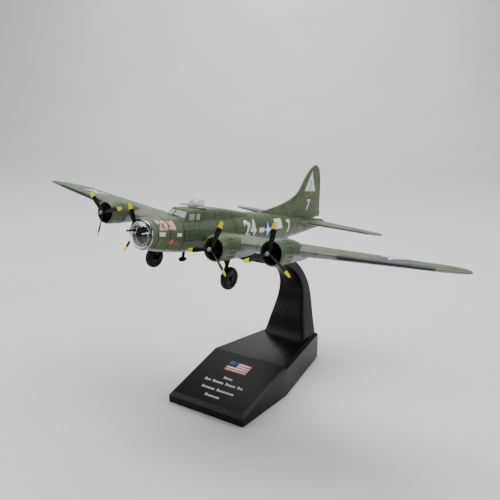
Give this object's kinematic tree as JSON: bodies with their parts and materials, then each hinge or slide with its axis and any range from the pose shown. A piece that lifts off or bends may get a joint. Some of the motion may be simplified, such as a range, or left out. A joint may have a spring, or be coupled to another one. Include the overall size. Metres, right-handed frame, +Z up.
{
  "type": "desk display model aeroplane",
  "caption": "Scale model of a four-engine propeller aeroplane, lifting off a peg on a curved arm that rises from a wedge-shaped base; propellers, wheels and turrets turn.",
  "frame": {"origin": "centre of the stand's underside, on the table", "axes": "+Z up, nose towards -Y, port wing towards +X; the aircraft is held nose up and banked slightly to port"},
  "size_m": [0.2191, 0.1587, 0.1066],
  "materials": {
    "black_plastic": "satin gloss",
    "screw_steel": "zinc plated",
    "turret_paint": "satin",
    "fittings_black": "satin",
    "cover_plastic": "matt",
    "pad_rubber": "matt",
    "socket_plastic": "matt",
    "window_silver": "glossy silver tint",
    "olive_paint": "satin",
    "engine_dark": "matt",
    "tyre_black": "satin",
    "wheel_black": "satin",
    "clear_glazing": "polished",
    "blade_black": "satin, yellow tips",
    "hub_grey": "satin",
    "peg_steel": "dark",
    "gun_metal": "satin"
  },
  "bodies": {
    "stand": {"stand_base": "black_plastic", "base_cover": "cover_plastic", "base_pad": "pad_rubber", "base_screws": "screw_steel", "arm_left": "black_plastic", "arm_right": "black_plastic", "arm_screws": "screw_steel", "support_peg": "peg_steel"},
    "propeller_1": {"propeller_1": "blade_black", "propeller_hub_1": "hub_grey"},
    "propeller_2": {"propeller_2": "blade_black", "propeller_hub_2": "hub_grey"},
    "propeller_3": {"propeller_3": "blade_black", "propeller_hub_3": "hub_grey"},
    "propeller_4": {"propeller_4": "blade_black", "propeller_hub_4": "hub_grey"},
    "main_wheel_left": {"main_wheel_left": "wheel_black", "main_tyre_left": "tyre_black"},
    "main_wheel_right": {"main_wheel_right": "wheel_black", "main_tyre_right": "tyre_black"},
    "tail_wheel": {"tail_wheel": "tyre_black"},
    "top_turret": {"top_turret_ring": "turret_paint", "top_turret_guns": "gun_metal", "top_turret_dome": "clear_glazing"},
    "ball_turret": {"ball_turret": "turret_paint", "ball_turret_guns": "fittings_black"},
    "airframe": {"belly_socket": "socket_plastic", "cockpit_windows": "window_silver", "cowling_1": "olive_paint", "cowling_2": "olive_paint", "cowling_3": "olive_paint", "cowling_4": "olive_paint", "direction_finder": "fittings_black", "engine_1": "engine_dark", "engine_2": "engine_dark", "engine_3": "engine_dark", "engine_4": "engine_dark", "fin": "olive_paint", "fuselage_left": "olive_paint", "fuselage_right": "olive_paint", "main_gear_left": "fittings_black", "main_gear_right": "fittings_black", "nose_bulkhead": "fittings_black", "nose_glazing": "clear_glazing", "nose_gun": "fittings_black", "nose_windows": "window_silver", "radio_windows": "window_silver", "tail_gear": "fittings_black", "tail_glazing": "clear_glazing", "tail_guns": "fittings_black", "tailplane_left": "olive_paint", "tailplane_right": "olive_paint", "waist_windows": "window_silver", "wing_left": "olive_paint", "wing_right": "olive_paint"}
  },
  "joints": [
    {"name": "plane_lift", "type": "slide", "parent": "stand", "child": "airframe", "axis": [0.0734, 0.1243, 0.9895], "range_m": [0, 0.012]},
    {"name": "propeller_1_spin", "type": "hinge", "parent": "airframe", "child": "propeller_1", "pos_m": [0.04396, -0.05843, 0.08571], "axis": [0, 0.9922, -0.1246], "continuous": true},
    {"name": "propeller_2_spin", "type": "hinge", "parent": "airframe", "child": "propeller_2", "pos_m": [0.01969, -0.06148, 0.08466], "axis": [0, 0.9922, -0.1246], "continuous": true},
    {"name": "propeller_3_spin", "type": "hinge", "parent": "airframe", "child": "propeller_3", "pos_m": [-0.02, -0.06112, 0.08756], "axis": [0, 0.9922, -0.1246], "continuous": true},
    {"name": "propeller_4_spin", "type": "hinge", "parent": "airframe", "child": "propeller_4", "pos_m": [-0.0438, -0.05762, 0.09212], "axis": [0, 0.9922, -0.1246], "continuous": true},
    {"name": "main_wheel_left_spin", "type": "hinge", "parent": "airframe", "child": "main_wheel_left", "pos_m": [0.01944, -0.0497, 0.07017], "axis": [0.9973, -0.0092, -0.0728], "continuous": true},
    {"name": "main_wheel_right_spin", "type": "hinge", "parent": "airframe", "child": "main_wheel_right", "pos_m": [-0.02165, -0.04932, 0.07317], "axis": [0.9973, -0.0092, -0.0728], "continuous": true},
    {"name": "tail_wheel_spin", "type": "hinge", "parent": "airframe", "child": "tail_wheel", "pos_m": [-0.00068, 0.02958, 0.06746], "axis": [0.9973, -0.0092, -0.0728], "continuous": true},
    {"name": "top_turret_turn", "type": "hinge", "parent": "airframe", "child": "top_turret", "pos_m": [0.00076, -0.04675, 0.09685], "axis": [0.0734, 0.1243, 0.9895], "continuous": true},
    {"name": "ball_turret_turn", "type": "hinge", "parent": "airframe", "child": "ball_turret", "pos_m": [-0.00044, 0.00172, 0.07428], "axis": [0.0734, 0.1243, 0.9895], "continuous": true}
  ]
}
